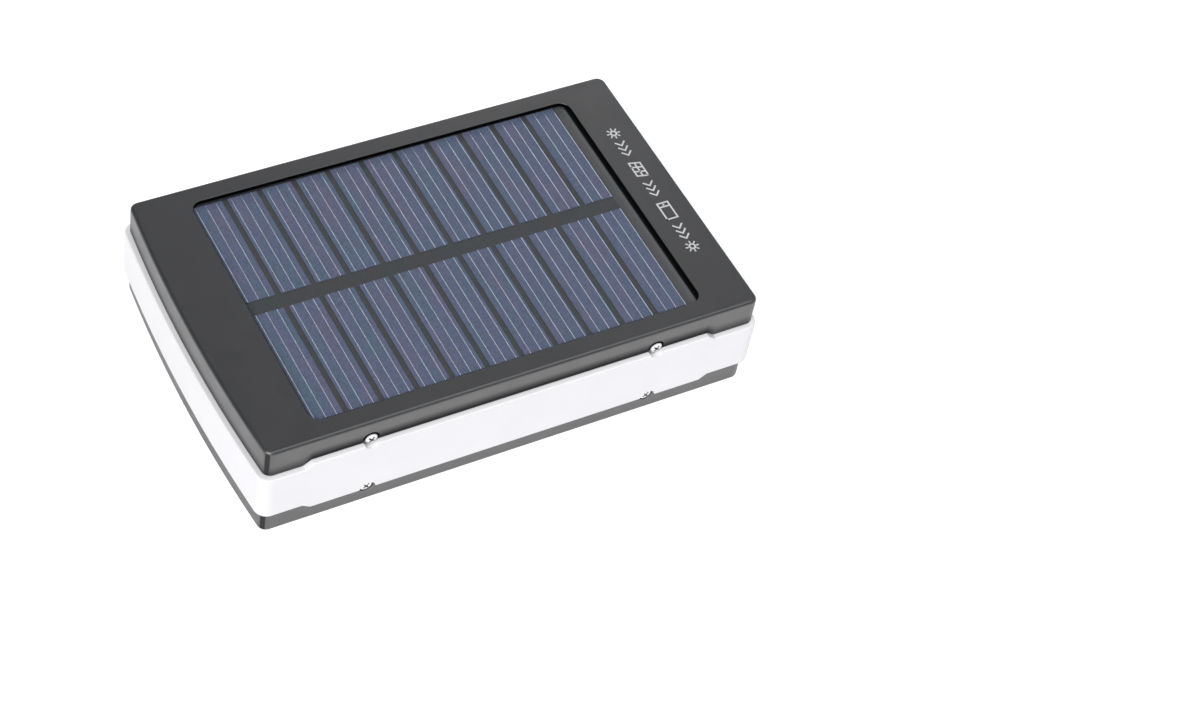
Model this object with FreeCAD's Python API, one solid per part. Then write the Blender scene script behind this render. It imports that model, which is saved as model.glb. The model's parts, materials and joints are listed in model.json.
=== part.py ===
"""Solar phone charger: a flat battery pack with a solar panel in its top cover.

Millimetres. The origin is the middle of the underside. +X points to the end with the sockets,
-Y to the long side with the four screws that face a viewer, and +Z up through the solar panel.
A plain plastic frame carries everything, and a painted metal cover closes it above and below.
"""

import FreeCAD, Part
import math
import os

Vector = FreeCAD.Vector
X_AXIS = Vector(1, 0, 0)
Y_AXIS = Vector(0, 1, 0)
Z_AXIS = Vector(0, 0, 1)

# Driving dimensions of the case
LENGTH = 120.0            # plastic frame, end to end
WIDTH = 76.0              # plastic frame, side to side
HEIGHT = 26.0             # underside of the bottom cover to the top of the top cover
END_BOW = 1.8             # how far the middle of the -X end stands out past its corners
FRAME_CORNER = 2.9        # plan corner radius of the plastic frame
FRAME_EDGE = 0.35
COVER_INSET = 1.1         # the frame stands this far proud of both covers
COVER_WALL = 1.0
COVER_CORNER = 2.0
COVER_EDGE = 0.8          # rounding between a cover's face and its skirt
SKIRT_EDGE = 0.55         # rounding of the skirt's outer free edge, at the seam
TOP_SKIRT = 6.3           # depth of the upper cover's skirt along the long sides
BOTTOM_SKIRT = 5.2        # the same for the lower cover
TAB_DEPTH = 1.25          # both skirts are this much deeper round the corners and the ends
TAB_SLOPE_X = (46.8, 48.7)   # where the deeper skirt starts on a long side
FIT_GAP = 0.1             # between pieces that slide together at assembly
LIP_WALL = 1.4            # frame lip inside each skirt
LIP_END_GAP = 1.2         # between a lip's edge and the cover's plate
OVERSIZE = 5.0            # how far cutting tools run past the surface that they cut

TINY = 1e-4               # slack for telling where an edge lies
STRAIGHT = 0.9999         # cosine above which an edge counts as parallel to an axis

# Derived places of the case
COVER_INNER = COVER_INSET + COVER_WALL
LIP_OUTER = COVER_INNER + FIT_GAP
FRAME_INNER = LIP_OUTER + LIP_WALL
SIDE_INNER_Y = WIDTH / 2 - FRAME_INNER
END_INNER_X = LENGTH / 2 - FRAME_INNER

# Solar panel, seen through the window in the top cover
WINDOW_X = (-45.1, 47.1)
WINDOW_HALF_Y = 32.3
WINDOW_CORNER = 2.7
WINDOW_EDGE = 0.15
PANEL_X = (-48.6, 46.5)
PANEL_HALF_Y = 33.0
PANEL_CORNER = 2.5
TAPE_THICKNESS = 0.1
SEAL_X = (46.6, 48.9)     # foam strip that closes the gap between the panel and the window's +X edge
SEAL_STEP_X = 47.4        # the strip is lower up to here, where it lies under the gap
SEAL_LOW_Z = 22.95
SEAL_STEP_Z = 23.5
FILM_THICKNESS = 0.3
CELL_THICKNESS = 0.2
BOARD_THICKNESS = 1.2
STRIPS_PER_ROW = 11
STRIP_WIDTH = 6.85
STRIP_PITCH = 8.14
FIRST_STRIP_X = -41.07    # middle of the strip at the -X end
BACK_ROW_Y = (3.05, 32.4)
FRONT_ROW_Y = (-31.2, -0.9)
LINES_PER_STRIP = 3
LINE_SPACING = 2.4
LINE_PITCH = 8.277        # the printed lines drift a little against the strips
FIRST_LINE_X = -41.5
LINE_WIDTH = 0.17
LINE_THICKNESS = 0.03
PANEL_TOP_Z = HEIGHT - COVER_WALL - TAPE_THICKNESS
STRIPS_TOP_Z = PANEL_TOP_Z - FILM_THICKNESS
PANEL_BOARD_TOP_Z = STRIPS_TOP_Z - CELL_THICKNESS
PANEL_LOW_Z = PANEL_BOARD_TOP_Z - BOARD_THICKNESS

# Cover screws and the ears of the covers that they hold
SCREW_X = 33.7
SCREW_DROP = 5.2          # screw axis below the cover's face
SCREW_HEAD_R = 1.45
SCREW_HEAD_H = 1.1
SCREW_DOME_H = 0.35
SCREW_SHANK_R = 1.0
SCREW_LENGTH = 2.8
CROSS_LENGTH = 1.7
CROSS_WIDTH = 0.42
CROSS_DEPTH = 0.6
CROSS_TURN = 40.0         # degrees from upright
NOTCH_R = 1.9
EAR_HALF_X = 3.0
EAR_END_R = 2.1
EAR_WALL = 0.8
SCREW_BOSS_HALF = 2.3
SCREW_BOSS_FACE_Y = 32.8
THREAD_GAP = 0.02
HOLE_GAP = 0.1

# Battery: five round lithium cells side by side
CELL_COUNT = 5
CELL_R = 9.2
CELL_PITCH = 18.5
FIRST_CELL_X = -44.3
CELL_Y = (-32.4, 31.6)
CELL_TIP_R = 3.0
CELL_TIP_H = 0.8
CELL_EDGE = 0.8
CELL_Z = 11.7
INSULATOR_R = (3.4, 8.6)
INSULATOR_THICKNESS = 0.3
STRIP_THICKNESS = 0.2
STRIP_Z = (8.0, 15.4)
LEAD_TAB_Z = 12.6         # lower edge of the strip where it passes the divider
LEAD_TAB_X = (41.6, 44.6)
FOAM_X = (-50.0, 35.0)
FOAM_HALF_Y = 27.0
FOAM_GAP = 0.05
DIVIDER_X = (39.2, 40.2)
DIVIDER_Z = (2.6, 22.6)
DIVIDER_SHOULDER_Z = 11.0
DIVIDER_NARROW_Y = 31.0

# Circuit board and the pieces on it
BOARD_X = (40.6, 56.0)
BOARD_HALF_Y = 33.2
BOARD_TOP_Z = 10.15
PCB_THICKNESS = 1.6
BLOCK_X = 50.0
BLOCK_Y = 28.0
BLOCK_LOW_Z = 3.0
BOARD_SCREW_AT = (53.2, 30.8)
BOARD_SCREW_R = 0.8
BOARD_SCREW_LENGTH = 4.6
BOARD_SCREW_HEAD_R = 1.7
BOARD_SCREW_HEAD_H = 1.1
LEDGE_WIDTH = 1.4
SOCKET_FACE_X = 59.5      # mouths of the sockets, just inside the end wall
USB_Y = 20.0
USB_WIDTH = 13.1
USB_HEIGHT = 5.7
USB_LENGTH = 14.0
USB_WALL = 0.35
USB_BACK = 4.0
USB_TONGUE_WIDTH = 11.0
USB_TONGUE_THICKNESS = 1.8
USB_TONGUE_END = 1.6      # tongue's tip behind the mouth
USB_TONGUE_DROP = 0.75    # tongue below the shell's roof
USB_CONTACTS = 4
USB_CONTACT_PITCH = 2.25
USB_CONTACT_SIZE = (7.0, 1.0, 0.15)
USB_CONTACT_END = 0.5     # contacts' tips behind the tongue's tip
MICRO_WIDTH = 7.6
MICRO_HEIGHT = 2.7
MICRO_LENGTH = 5.6
MICRO_WALL = 0.3
MICRO_CHAMFER = 0.9
MICRO_TONGUE = (3.4, 3.6, 0.6)
WINDOW_GAP = 0.3          # between a socket and its window in the frame
WINDOW_ROUND = 0.5
LED_COUNT = 5
LED_PITCH = 1.8
LED_MID_Y = -8.7
LED_SIZE = (1.0, 1.1, 0.9)
LED_X = 54.4
PIPE_R = 0.6
PIPE_Z = 11.4
PIPE_PROUD = 0.15
PIPE_EDGE = 0.2
BUTTON_Y = 8.6
BUTTON_Z = 12.9
BUTTON_WIDTH = 6.0
BUTTON_HEIGHT = 3.4
BUTTON_PROUD = 0.8
BUTTON_EDGE = 0.4
BUTTON_GAP = 0.12
FLAT_LEFT = 0.01          # flat left between the round ends of the button's outline
BUTTON_TRAVEL = 0.4
FLANGE_EXTRA = 0.6
FLANGE_THICKNESS = 0.6
SWITCH_X = (50.6, 54.2)
SWITCH_WIDTH = 6.2
SWITCH_HEIGHT = 5.0
PLUNGER_R = 1.2
PLUNGER_GAP = 0.06
PLUNGER_DEPTH = 1.0
INDUCTOR_AT = (47.4, 0.0)
INDUCTOR_R = 4.0
INDUCTOR_NECK_R = 2.0
INDUCTOR_FLANGE = 0.9
INDUCTOR_HEIGHT = 5.0
CAPACITOR_R = 2.5
CAPACITOR_HEIGHT = 8.0
CAPACITOR_AT = ((43.2, 10.5), (43.2, -10.5))
CHIP_SIZE = (4.0, 5.0, 1.5)
CHIP_AT = ((51.8, -8.6), (43.4, -19.0), (43.4, 19.0))
LEAD_R = 0.6
LEAD_X = (44.0, 42.0)     # where the leads leave the panel, and where they reach the board
LEAD_Y = (2.2, 2.86)
LEAD_RUN = 4.0            # straight run at both ends
BEND_SHARE = 0.45         # share of the shorter run that a bend takes up


def box(x, y, z):
    """A block between the two values of each axis."""
    return Part.makeBox(x[1] - x[0], y[1] - y[0], z[1] - z[0], Vector(x[0], y[0], z[0]))


def centred(middle, size):
    """A span of that size about its middle."""
    return (middle - size / 2, middle + size / 2)


def edges_along(shape, axis):
    """The straight edges of a shape that run along an axis."""
    found = []
    for edge in shape.Edges:
        run = edge.Vertexes[-1].Point - edge.Vertexes[0].Point
        if run.Length > 0 and abs(run.dot(axis)) > run.Length * STRAIGHT:
            found.append(edge)
    return found


def edges_at(shape, z):
    """The edges of a shape that lie wholly at one height."""
    return [e for e in shape.Edges if max(abs(e.BoundBox.ZMin - z), abs(e.BoundBox.ZMax - z)) < TINY]


def rounded_box(x, y, z, radius, axis=Z_AXIS):
    """A block whose edges along one axis are rounded."""
    block = box(x, y, z)
    return block.makeFillet(radius, edges_along(block, axis))


def prism(points, along):
    """A closed outline of straight sides, extruded."""
    return Part.Face(Part.makePolygon(points + points[:1])).extrude(along)


def plan_block(inset, z, corner):
    """The case's plan outline, inset all round and extruded: straight sides and a bowed -X end."""
    side = WIDTH / 2 - inset
    right = LENGTH / 2 - inset
    apex = -LENGTH / 2 + inset
    left = apex + END_BOW
    corners = [Vector(left, -side, z[0]), Vector(right, -side, z[0])]
    corners += [Vector(right, side, z[0]), Vector(left, side, z[0])]
    sides = [Part.LineSegment(a, b).toShape() for a, b in zip(corners, corners[1:])]
    bow = Part.Arc(corners[3], Vector(apex, 0, z[0]), corners[0]).toShape()
    block = Part.Face(Part.Wire(sides + [bow])).extrude(Vector(0, 0, z[1] - z[0]))
    return block.makeFillet(corner, edges_along(block, Z_AXIS))


def seam_span(z_low, z_high):
    """The middle stretch of the long sides between two heights, with sloping ends at the deeper skirt."""
    short, long = TAB_SLOPE_X
    outline = [(-long, z_low + TAB_DEPTH), (-short, z_low), (short, z_low), (long, z_low + TAB_DEPTH)]
    outline += [(x, z_high + z_low - z) for x, z in reversed(outline)]
    return prism([Vector(x, -WIDTH, z) for x, z in outline], Vector(0, 2 * WIDTH, 0))


def mirrored_down(shape):
    """The same piece turned over about the middle height of the case, without turning it end for end."""
    return shape.mirror(Vector(0, 0, HEIGHT / 2), Z_AXIS)


def screw_places():
    """Axis points of the cover screws on both long sides, for the upper cover."""
    z = HEIGHT - SCREW_DROP
    return [(x, side, z) for x in (-SCREW_X, SCREW_X) for side in (-1, 1)]


def side_cylinder(place, radius, inset_from, inset_to):
    """A cylinder across a long side, between two depths below the frame's face."""
    x, side, z = place
    start = Vector(x, side * (WIDTH / 2 - inset_from), z)
    return Part.makeCylinder(radius, inset_to - inset_from, start, Vector(0, -side, 0))


def side_box(place, half_x, z, inset_from, inset_to):
    """A block on a long side, between two depths below the frame's face."""
    x, side, _ = place
    y = sorted((side * (WIDTH / 2 - inset_from), side * (WIDTH / 2 - inset_to)))
    return box(centred(x, 2 * half_x), y, z)


def ear(place, extra=0.0):
    """A tab inside the skirt that the screw passes through. The extra makes the frame's pocket for it."""
    inset = (COVER_INNER, COVER_INNER + EAR_WALL + extra)
    upper = side_box(place, EAR_HALF_X + extra, (place[2] - extra, HEIGHT - COVER_WALL), *inset)
    return upper.fuse(side_cylinder(place, EAR_END_R + extra, *inset))


def cover(skirt, with_window):
    """An upper cover: a plate with a skirt, and four ears behind the notches for the screws."""
    seam = HEIGHT - skirt
    low = seam - TAB_DEPTH
    shell = plan_block(COVER_INSET, (low, HEIGHT), COVER_CORNER)
    shell = shell.makeFillet(COVER_EDGE, edges_at(shell, HEIGHT))
    hollow_z = (low - OVERSIZE, HEIGHT - COVER_WALL)
    shell = shell.cut(plan_block(COVER_INNER, hollow_z, COVER_CORNER - COVER_WALL))
    shell = shell.cut(seam_span(low - TAB_DEPTH - OVERSIZE, seam))
    middle = COVER_WALL / 2
    free_edge = skin_edges(shell, COVER_INSET + middle, COVER_CORNER - middle, (0, seam))
    shell = shell.makeFillet(SKIRT_EDGE, free_edge)
    if with_window:
        window_z = (HEIGHT - COVER_WALL - OVERSIZE, HEIGHT + OVERSIZE)
        window_y = (-WINDOW_HALF_Y, WINDOW_HALF_Y)
        shell = shell.cut(rounded_box(WINDOW_X, window_y, window_z, WINDOW_CORNER))
        rim = [e for e in edges_at(shell, HEIGHT) if inside_window(e)]
        shell = shell.makeFillet(WINDOW_EDGE, rim)
    for place in screw_places():
        shell = shell.cut(side_cylinder(place, NOTCH_R, -OVERSIZE, COVER_INNER))
        shell = shell.fuse(ear(place))
        shell = shell.cut(side_cylinder(place, SCREW_SHANK_R + HOLE_GAP, 0, FRAME_INNER))
    return shell.removeSplitter()


def skin_edges(shape, inset, corner, z):
    """The edges between two heights that lie outside the case's outline at that inset."""
    core = plan_block(inset, (0, HEIGHT), corner)
    found = []
    for edge in shape.Edges:
        within = edge.BoundBox.ZMin > z[0] - TINY and edge.BoundBox.ZMax < z[1] + TINY
        point = edge.valueAt((edge.FirstParameter + edge.LastParameter) / 2)
        if within and not core.isInside(point, TINY, True):
            found.append(edge)
    return found


def inside_window(edge):
    """Whether an edge belongs to the window's rim and not to the cover's outline."""
    bounds = edge.BoundBox
    clear_x = bounds.XMin > WINDOW_X[0] - TINY and bounds.XMax < WINDOW_X[1] + TINY
    return clear_x and max(abs(bounds.YMin), abs(bounds.YMax)) < WINDOW_HALF_Y + TINY


def frame_band():
    """The visible band of the frame, whose ledges follow the edges of both skirts."""
    low, high = BOTTOM_SKIRT, HEIGHT - TOP_SKIRT
    ends = (low + TAB_DEPTH, high - TAB_DEPTH)
    band = plan_block(0, (low, high), FRAME_CORNER).common(seam_span(low, high))
    band = band.fuse(plan_block(0, ends, FRAME_CORNER)).removeSplitter()
    rims = []
    for z in ((0, ends[0]), (ends[1], HEIGHT)):
        rims += skin_edges(band, FRAME_EDGE, FRAME_CORNER - FRAME_EDGE, z)
    return band.makeFillet(FRAME_EDGE, rims)


def frame_walls():
    """The visible band of the frame and the thinner lips that stand up inside both skirts."""
    lip_z = (COVER_WALL + LIP_END_GAP, HEIGHT - COVER_WALL - LIP_END_GAP)
    walls = frame_band().fuse(plan_block(LIP_OUTER, lip_z, COVER_CORNER - COVER_WALL))
    inner_z = (lip_z[0] - OVERSIZE, lip_z[1] + OVERSIZE)
    return walls.cut(plan_block(FRAME_INNER, inner_z, COVER_CORNER - COVER_WALL))


def socket_windows():
    """Cutting tools for the sockets, the indicator lights and the button in the +X end wall."""
    through = (END_INNER_X - OVERSIZE / 2, LENGTH / 2 + OVERSIZE)
    tools = []
    for side in (-1, 1):
        y = centred(side * USB_Y, USB_WIDTH + 2 * WINDOW_GAP)
        z = (BOARD_TOP_Z - WINDOW_GAP, BOARD_TOP_Z + USB_HEIGHT + WINDOW_GAP)
        tools.append(rounded_box(through, y, z, WINDOW_ROUND, X_AXIS))
    y = centred(0, MICRO_WIDTH + 2 * WINDOW_GAP)
    z = (BOARD_TOP_Z - WINDOW_GAP, BOARD_TOP_Z + MICRO_HEIGHT + WINDOW_GAP)
    tools.append(rounded_box(through, y, z, WINDOW_ROUND, X_AXIS))
    for y in led_places():
        at = Vector(through[0], y, PIPE_Z)
        tools.append(Part.makeCylinder(PIPE_R + THREAD_GAP, through[1] - through[0], at, X_AXIS))
    tools.append(button_body(through, BUTTON_GAP))
    return tools


def led_places():
    """Where the indicator lights stand along the end wall."""
    return [LED_MID_Y + (i - (LED_COUNT - 1) / 2) * LED_PITCH for i in range(LED_COUNT)]


def button_body(x, extra):
    """A block with round ends along X, in the button's outline, grown by an extra all round."""
    y = centred(BUTTON_Y, BUTTON_WIDTH + 2 * extra)
    z = centred(BUTTON_Z, BUTTON_HEIGHT + 2 * extra)
    radius = BUTTON_HEIGHT / 2 + extra - FLAT_LEFT
    return rounded_box(x, y, z, radius, X_AXIS)


def mid_frame():
    """The plastic frame: walls, battery divider, board supports, screw bosses and the end's openings."""
    frame = frame_walls()
    side = SIDE_INNER_Y + LIP_WALL / 2
    frame = frame.fuse(box(DIVIDER_X, (-side, side), (DIVIDER_Z[0], DIVIDER_SHOULDER_Z)))
    frame = frame.fuse(box(DIVIDER_X, (-DIVIDER_NARROW_Y, DIVIDER_NARROW_Y), DIVIDER_Z))
    board_low = BOARD_TOP_Z - PCB_THICKNESS
    ledge_x = (DIVIDER_X[0], DIVIDER_X[1] + LEDGE_WIDTH)
    frame = frame.fuse(box(ledge_x, (-side, side), (board_low - LEDGE_WIDTH, board_low)))
    for y in ((-side, -BLOCK_Y), (BLOCK_Y, side)):
        frame = frame.fuse(box((BLOCK_X, END_INNER_X + LIP_WALL / 2), y, (BLOCK_LOW_Z, board_low)))
    for upper in (True, False):
        for place in screw_places():
            frame = turned(frame, upper)
            z = centred(place[2], 2 * SCREW_BOSS_HALF)
            boss_face = WIDTH / 2 - SCREW_BOSS_FACE_Y
            frame = frame.fuse(side_box(place, SCREW_BOSS_HALF, z, FRAME_INNER - LIP_WALL / 2, boss_face))
            frame = frame.cut(side_cylinder(place, NOTCH_R, -OVERSIZE, COVER_INNER))
            frame = frame.cut(ear(place, FIT_GAP))
            frame = frame.cut(side_cylinder(place, SCREW_SHANK_R + THREAD_GAP, 0, boss_face + OVERSIZE))
            frame = turned(frame, upper)
    for tool in socket_windows():
        frame = frame.cut(tool)
    for y in (-BOARD_SCREW_AT[1], BOARD_SCREW_AT[1]):
        at = Vector(BOARD_SCREW_AT[0], y, board_low - BOARD_SCREW_LENGTH)
        depth = BOARD_SCREW_LENGTH + OVERSIZE
        frame = frame.cut(Part.makeCylinder(BOARD_SCREW_R + THREAD_GAP, depth, at, Z_AXIS))
    return frame.removeSplitter()


def turned(shape, upper):
    """The shape as it is for the upper cover's features, or turned over for the lower cover's."""
    return shape if upper else mirrored_down(shape)


def cover_screw(place):
    """A pan-head screw with a cross recess, seated on the cover's ear."""
    x, side, z = place
    seat = COVER_INNER
    rim = seat - SCREW_HEAD_H
    head = side_cylinder(place, SCREW_HEAD_R, rim, seat)
    ball_r = (SCREW_HEAD_R ** 2 + SCREW_DOME_H ** 2) / (2 * SCREW_DOME_H)
    crown = WIDTH / 2 - rim + SCREW_DOME_H
    ball = Part.makeSphere(ball_r, Vector(x, side * (crown - ball_r), z))
    dome = ball.common(side_cylinder(place, SCREW_HEAD_R, rim - SCREW_DOME_H, rim))
    screw = head.fuse(dome).fuse(side_cylinder(place, SCREW_SHANK_R, seat, seat + SCREW_LENGTH))
    y = sorted((side * crown, side * (crown - CROSS_DEPTH)))
    for size in ((CROSS_LENGTH, CROSS_WIDTH), (CROSS_WIDTH, CROSS_LENGTH)):
        slot = box(centred(x, size[0]), y, centred(z, size[1]))
        slot.rotate(Vector(x, 0, z), Y_AXIS, CROSS_TURN)
        screw = screw.cut(slot)
    return screw.removeSplitter()


def cover_screws():
    """Two screws on each long side for each cover."""
    upper = [cover_screw(place) for place in screw_places()]
    return Part.makeCompound(upper + [mirrored_down(screw) for screw in upper])


def panel_slab(z):
    """A layer over the whole panel."""
    return rounded_box(PANEL_X, (-PANEL_HALF_Y, PANEL_HALF_Y), z, PANEL_CORNER)


def solar_strips(row_y):
    """One row of silicon strips."""
    strips = []
    for i in range(STRIPS_PER_ROW):
        x = centred(FIRST_STRIP_X + i * STRIP_PITCH, STRIP_WIDTH)
        strips.append(box(x, row_y, (PANEL_BOARD_TOP_Z, STRIPS_TOP_Z)))
    return Part.makeCompound(strips)


def grid_lines():
    """The thin silver lines printed along every strip."""
    lines = []
    for row_y in (BACK_ROW_Y, FRONT_ROW_Y):
        for i in range(STRIPS_PER_ROW):
            middle = FIRST_LINE_X + i * LINE_PITCH
            for j in range(LINES_PER_STRIP):
                x = centred(middle + (j - (LINES_PER_STRIP - 1) / 2) * LINE_SPACING, LINE_WIDTH)
                lines.append(box(x, row_y, (STRIPS_TOP_Z, STRIPS_TOP_Z + LINE_THICKNESS)))
    return Part.makeCompound(lines)


def panel_film():
    """The clear laminate: level on top, and let down between the strips to the panel's board."""
    film = panel_slab((PANEL_BOARD_TOP_Z, PANEL_TOP_Z))
    inlay = solar_strips(BACK_ROW_Y).Solids + solar_strips(FRONT_ROW_Y).Solids + grid_lines().Solids
    return film.cut(Part.makeCompound(inlay))


def panel_tape():
    """Black tape between the panel's margins and the cover, and the foam strip beside the panel."""
    z = (PANEL_TOP_Z, PANEL_TOP_Z + TAPE_THICKNESS)
    window_y = (-WINDOW_HALF_Y, WINDOW_HALF_Y)
    tape = panel_slab(z).cut(box(WINDOW_X, window_y, (z[0] - OVERSIZE, z[1] + OVERSIZE)))
    seal = box(SEAL_X, window_y, (SEAL_LOW_Z, z[1]))
    seal = seal.cut(box((SEAL_X[0], SEAL_STEP_X), window_y, (SEAL_STEP_Z, z[1])))
    return Part.makeCompound([tape, seal])


def bent_lead(points, radius):
    """A round lead along straight runs that are joined by tangent arcs as large as the runs allow."""
    pieces = []
    start = points[0]
    for before, corner, after in zip(points, points[1:], points[2:]):
        back, ahead = before - corner, after - corner
        half_turn = (math.pi - back.getAngle(ahead)) / 2
        trim = BEND_SHARE * min(back.Length, ahead.Length)
        bend = trim / math.tan(half_turn)
        back.normalize()
        ahead.normalize()
        inward = back + ahead
        inward.normalize()
        middle = corner + inward * (bend / math.cos(half_turn) - bend)
        pieces.append(Part.LineSegment(start, corner + back * trim).toShape())
        pieces.append(Part.Arc(corner + back * trim, middle, corner + ahead * trim).toShape())
        start = corner + ahead * trim
    pieces.append(Part.LineSegment(start, points[-1]).toShape())
    path = Part.Wire(pieces)
    ring = Part.Wire(Part.makeCircle(radius, points[0], points[1] - points[0]))
    return path.makePipeShell([ring], True, True)


def panel_leads():
    """Two insulated leads from the underside of the panel down to the circuit board."""
    leads = []
    for side in (-1, 1):
        upper = Vector(LEAD_X[0], side * LEAD_Y[0], PANEL_LOW_Z)
        lower = Vector(LEAD_X[1], side * LEAD_Y[1], BOARD_TOP_Z)
        run = Vector(0, 0, LEAD_RUN)
        leads.append(bent_lead([upper, upper - run, lower + run, lower], LEAD_R))
    return Part.makeCompound(leads)


def cell_x(index):
    """Middle of a battery cell, counted from the -X end."""
    return FIRST_CELL_X + index * CELL_PITCH


def battery_cell(index):
    """A round cell that lies across the case, with its raised terminal on the +Y side."""
    start = Vector(cell_x(index), CELL_Y[0], CELL_Z)
    body = Part.makeCylinder(CELL_R, CELL_Y[1] - CELL_Y[0], start, Y_AXIS)
    ends = [e for e in body.Edges if e.Closed and e.BoundBox.YLength < TINY]
    body = body.makeFillet(CELL_EDGE, ends)
    tip = Part.makeCylinder(CELL_TIP_R, CELL_TIP_H, Vector(cell_x(index), CELL_Y[1], CELL_Z), Y_AXIS)
    return body.fuse(tip).removeSplitter()


def cell_insulators():
    """A paper washer round each raised terminal."""
    washers = []
    for index in range(CELL_COUNT):
        at = Vector(cell_x(index), CELL_Y[1], CELL_Z)
        outer = Part.makeCylinder(INSULATOR_R[1] - CELL_EDGE, INSULATOR_THICKNESS, at, Y_AXIS)
        washers.append(outer.cut(Part.makeCylinder(INSULATOR_R[0], INSULATOR_THICKNESS, at, Y_AXIS)))
    return Part.makeCompound(washers)


def battery_strip(side):
    """A nickel strip along one end of all the cells, with a tab that stands on the circuit board."""
    face = CELL_Y[1] + CELL_TIP_H if side > 0 else CELL_Y[0]
    y = sorted((face, face + side * STRIP_THICKNESS))
    start = cell_x(0) - CELL_TIP_R
    strip = box((start, cell_x(CELL_COUNT - 1) + CELL_TIP_R), y, STRIP_Z)
    strip = strip.fuse(box((start, LEAD_TAB_X[1]), y, (LEAD_TAB_Z, STRIP_Z[1])))
    return strip.fuse(box(LEAD_TAB_X, y, (BOARD_TOP_Z, STRIP_Z[1]))).removeSplitter()


def foam_pad(z):
    """A soft pad that keeps the cells still."""
    return rounded_box(FOAM_X, (-FOAM_HALF_Y, FOAM_HALF_Y), z, COVER_CORNER)


def circuit_board():
    """The circuit board, with holes for its two screws."""
    z = (BOARD_TOP_Z - PCB_THICKNESS, BOARD_TOP_Z)
    board = rounded_box(BOARD_X, (-BOARD_HALF_Y, BOARD_HALF_Y), z, COVER_EDGE)
    for y in (-BOARD_SCREW_AT[1], BOARD_SCREW_AT[1]):
        at = Vector(BOARD_SCREW_AT[0], y, z[0] - OVERSIZE)
        board = board.cut(Part.makeCylinder(BOARD_SCREW_R + HOLE_GAP, 3 * OVERSIZE, at, Z_AXIS))
    return board


def board_screws():
    """Two small screws that hold the circuit board to the frame."""
    screws = []
    for y in (-BOARD_SCREW_AT[1], BOARD_SCREW_AT[1]):
        x = BOARD_SCREW_AT[0]
        low = Vector(x, y, BOARD_TOP_Z - BOARD_SCREW_LENGTH)
        screw = Part.makeCylinder(BOARD_SCREW_R, BOARD_SCREW_LENGTH, low, Z_AXIS)
        head = Part.makeCylinder(BOARD_SCREW_HEAD_R, BOARD_SCREW_HEAD_H, Vector(x, y, BOARD_TOP_Z), Z_AXIS)
        top = BOARD_TOP_Z + BOARD_SCREW_HEAD_H
        head = head.makeFillet(FRAME_EDGE, edges_at(head, top))
        screw = screw.fuse(head)
        for size in ((CROSS_LENGTH, CROSS_WIDTH), (CROSS_WIDTH, CROSS_LENGTH)):
            slot = box(centred(x, size[0]), centred(y, size[1]), (top - CROSS_DEPTH, top))
            screw = screw.cut(slot)
        screws.append(screw)
    return Part.makeCompound(screws)


def usb_shell(y):
    """The folded metal shell of a USB-A socket, open at its mouth."""
    x = (SOCKET_FACE_X - USB_LENGTH, SOCKET_FACE_X)
    z = (BOARD_TOP_Z, BOARD_TOP_Z + USB_HEIGHT)
    outer = rounded_box(x, centred(y, USB_WIDTH), z, USB_WALL, X_AXIS)
    inner_x = (x[0] + USB_WALL, x[1] + OVERSIZE)
    inner_z = (z[0] + USB_WALL, z[1] - USB_WALL)
    return outer.cut(box(inner_x, centred(y, USB_WIDTH - 2 * USB_WALL), inner_z))


def usb_insert(y):
    """The plastic block at the back of a USB-A socket and the tongue that carries the contacts."""
    back = SOCKET_FACE_X - USB_LENGTH + USB_WALL
    roof = BOARD_TOP_Z + USB_HEIGHT - USB_WALL
    block_z = (BOARD_TOP_Z + USB_WALL, roof)
    block = box((back, back + USB_BACK), centred(y, USB_WIDTH - 2 * USB_WALL), block_z)
    tongue_z = (roof - USB_TONGUE_DROP - USB_TONGUE_THICKNESS, roof - USB_TONGUE_DROP)
    tongue = box((back, SOCKET_FACE_X - USB_TONGUE_END), centred(y, USB_TONGUE_WIDTH), tongue_z)
    return block.fuse(tongue).removeSplitter()


def usb_contacts(y):
    """The four gilt contacts under the tongue of a USB-A socket."""
    length, width, thickness = USB_CONTACT_SIZE
    face = BOARD_TOP_Z + USB_HEIGHT - USB_WALL - USB_TONGUE_DROP - USB_TONGUE_THICKNESS
    tip = SOCKET_FACE_X - USB_TONGUE_END - USB_CONTACT_END
    contacts = []
    for i in range(USB_CONTACTS):
        middle = y + (i - (USB_CONTACTS - 1) / 2) * USB_CONTACT_PITCH
        contacts.append(box((tip - length, tip), centred(middle, width), (face - thickness, face)))
    return Part.makeCompound(contacts)


def micro_outline(inset, x):
    """The section of a micro-USB socket: a block with its two lower corners cut off."""
    half = MICRO_WIDTH / 2 - inset
    low, high = BOARD_TOP_Z + inset, BOARD_TOP_Z + MICRO_HEIGHT - inset
    cut = MICRO_CHAMFER
    points = [(-half + cut, low), (half - cut, low), (half, low + cut)]
    points += [(half, high), (-half, high), (-half, low + cut)]
    return prism([Vector(x[0], y, z) for y, z in points], Vector(x[1] - x[0], 0, 0))


def micro_usb_shell():
    """The metal shell of the charging input."""
    x = (SOCKET_FACE_X - MICRO_LENGTH, SOCKET_FACE_X)
    return micro_outline(0, x).cut(micro_outline(MICRO_WALL, (x[0] + MICRO_WALL, x[1] + OVERSIZE)))


def micro_usb_insert():
    """The thin tongue of the charging input."""
    length, width, thickness = MICRO_TONGUE
    back = SOCKET_FACE_X - MICRO_LENGTH + MICRO_WALL
    z = centred(BOARD_TOP_Z + MICRO_HEIGHT / 2 + MICRO_WALL, thickness)
    return box((back, back + length), centred(0, width), z)


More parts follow.
